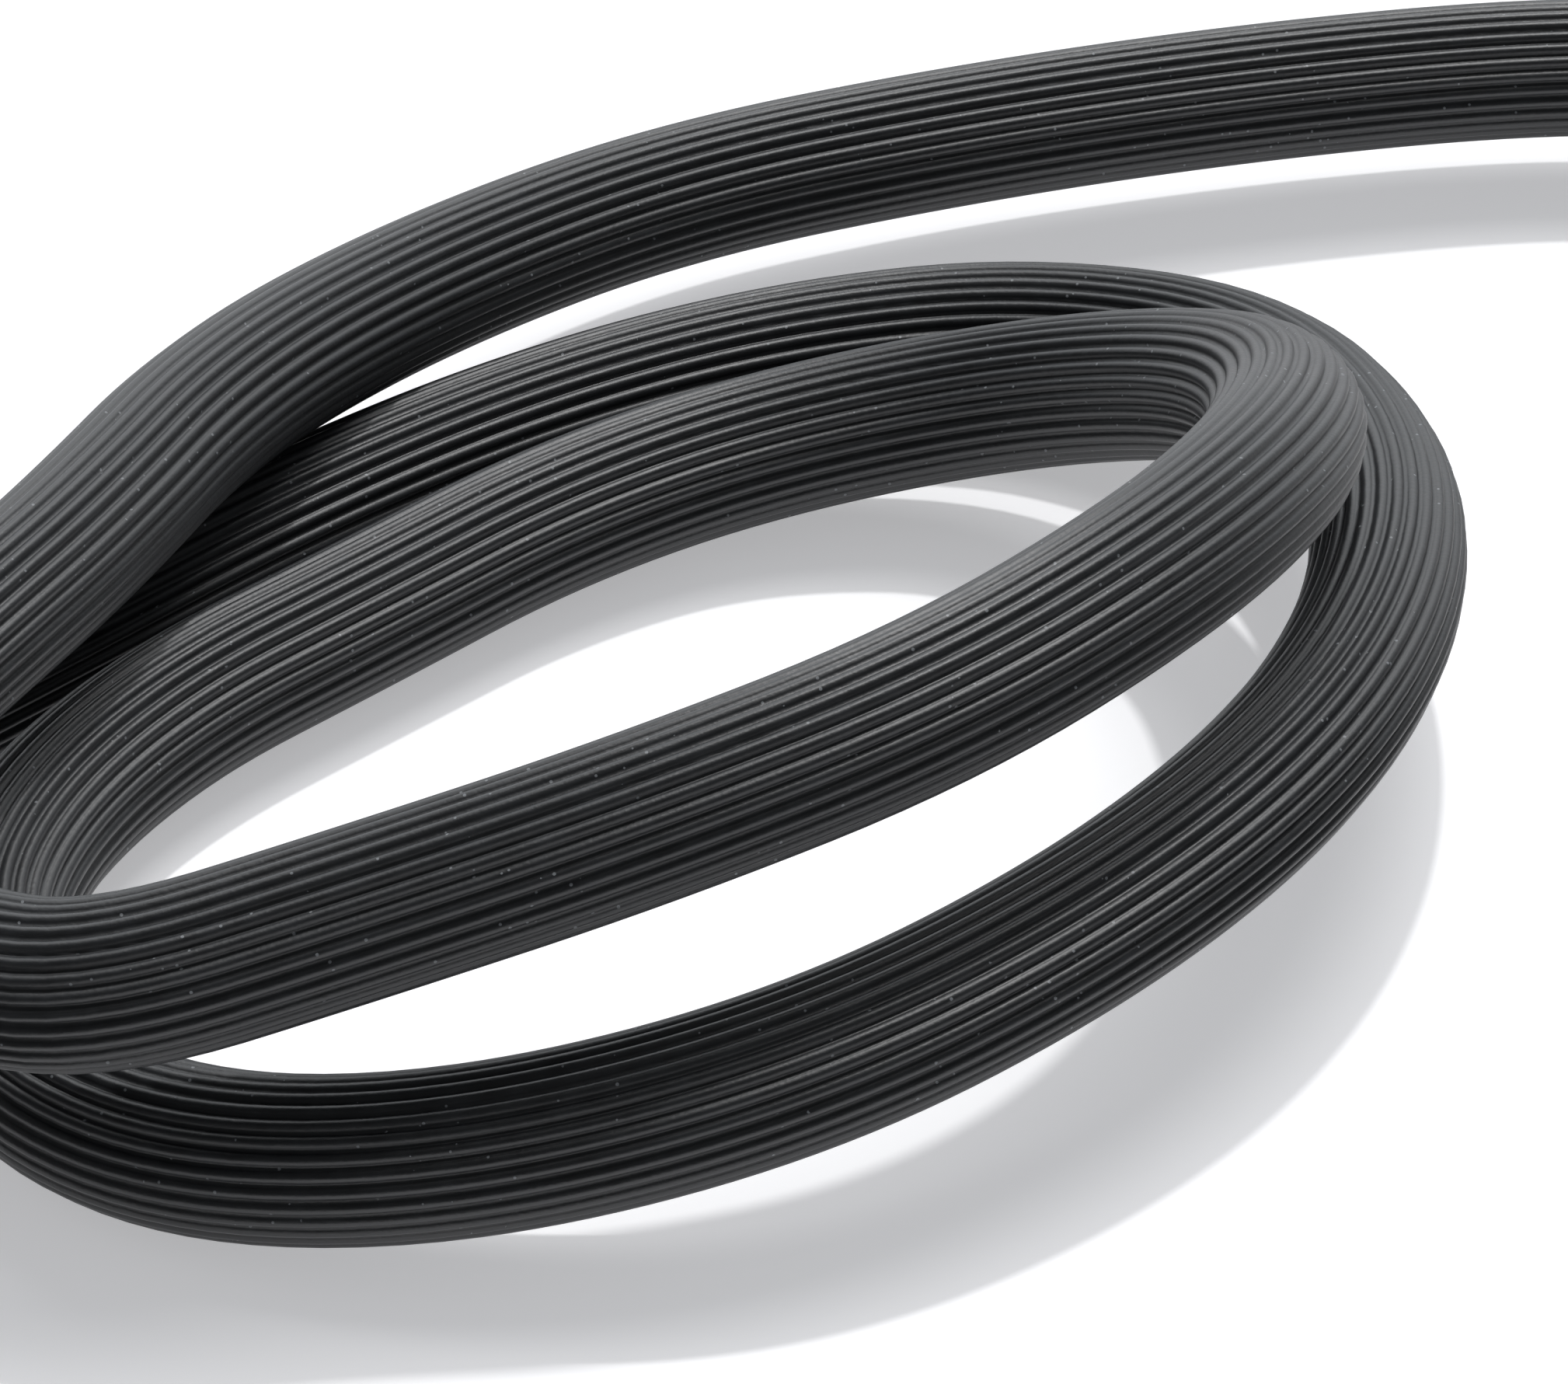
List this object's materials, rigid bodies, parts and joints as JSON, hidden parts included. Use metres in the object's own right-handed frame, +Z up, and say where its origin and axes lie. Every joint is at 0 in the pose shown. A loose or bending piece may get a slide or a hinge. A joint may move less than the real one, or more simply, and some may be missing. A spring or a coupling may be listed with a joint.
{
  "type": "audio patch cable",
  "caption": "Short audio patch cable in a loose coil: ribbed black rubber cord with a straight 6.35 mm mono phone plug on each end, for joining two pieces of audio gear.",
  "frame": {"origin": "on the floor, under the centre of the whole cable's box", "axes": "+Z up; +Y away from the plugs' tips, along both plugs; +X from plug 2 to plug 1"},
  "size_m": [0.1193, 0.1655, 0.0235],
  "materials": {
    "cord_rubber": "satin black rubber with fine lengthwise ribs",
    "boot_rubber": "matte black moulded rubber",
    "barrel_metal": "satin black coated barrel",
    "plated_contact": "polished nickel plate",
    "black_plastic": "glossy black moulding",
    "clear_plastic": "thin translucent liner",
    "brass_strip": "stamped brass strip",
    "core_plastic": "white core insulation",
    "copper": "bare copper wire"
  },
  "bodies": {
    "root": {"cord_jacket": "cord_rubber", "plug_1_boot": "boot_rubber", "plug_1_barrel": "barrel_metal", "plug_1_insulating_liner": "clear_plastic", "plug_1_ground_sleeve": "plated_contact", "plug_1_tip_insulator": "black_plastic", "plug_1_tip_contact": "plated_contact", "plug_1_rear_washer": "black_plastic", "plug_1_tip_terminal": "brass_strip", "plug_1_ground_tongue": "brass_strip", "plug_1_core_insulation": "core_plastic", "plug_1_core_wire": "copper", "plug_1_shield_pigtail": "copper", "plug_2_boot": "boot_rubber", "plug_2_barrel": "barrel_metal", "plug_2_insulating_liner": "clear_plastic", "plug_2_ground_sleeve": "plated_contact", "plug_2_tip_insulator": "black_plastic", "plug_2_tip_contact": "plated_contact", "plug_2_rear_washer": "black_plastic", "plug_2_tip_terminal": "brass_strip", "plug_2_ground_tongue": "brass_strip", "plug_2_core_insulation": "core_plastic", "plug_2_core_wire": "copper", "plug_2_shield_pigtail": "copper"}
  },
  "joints": []
}
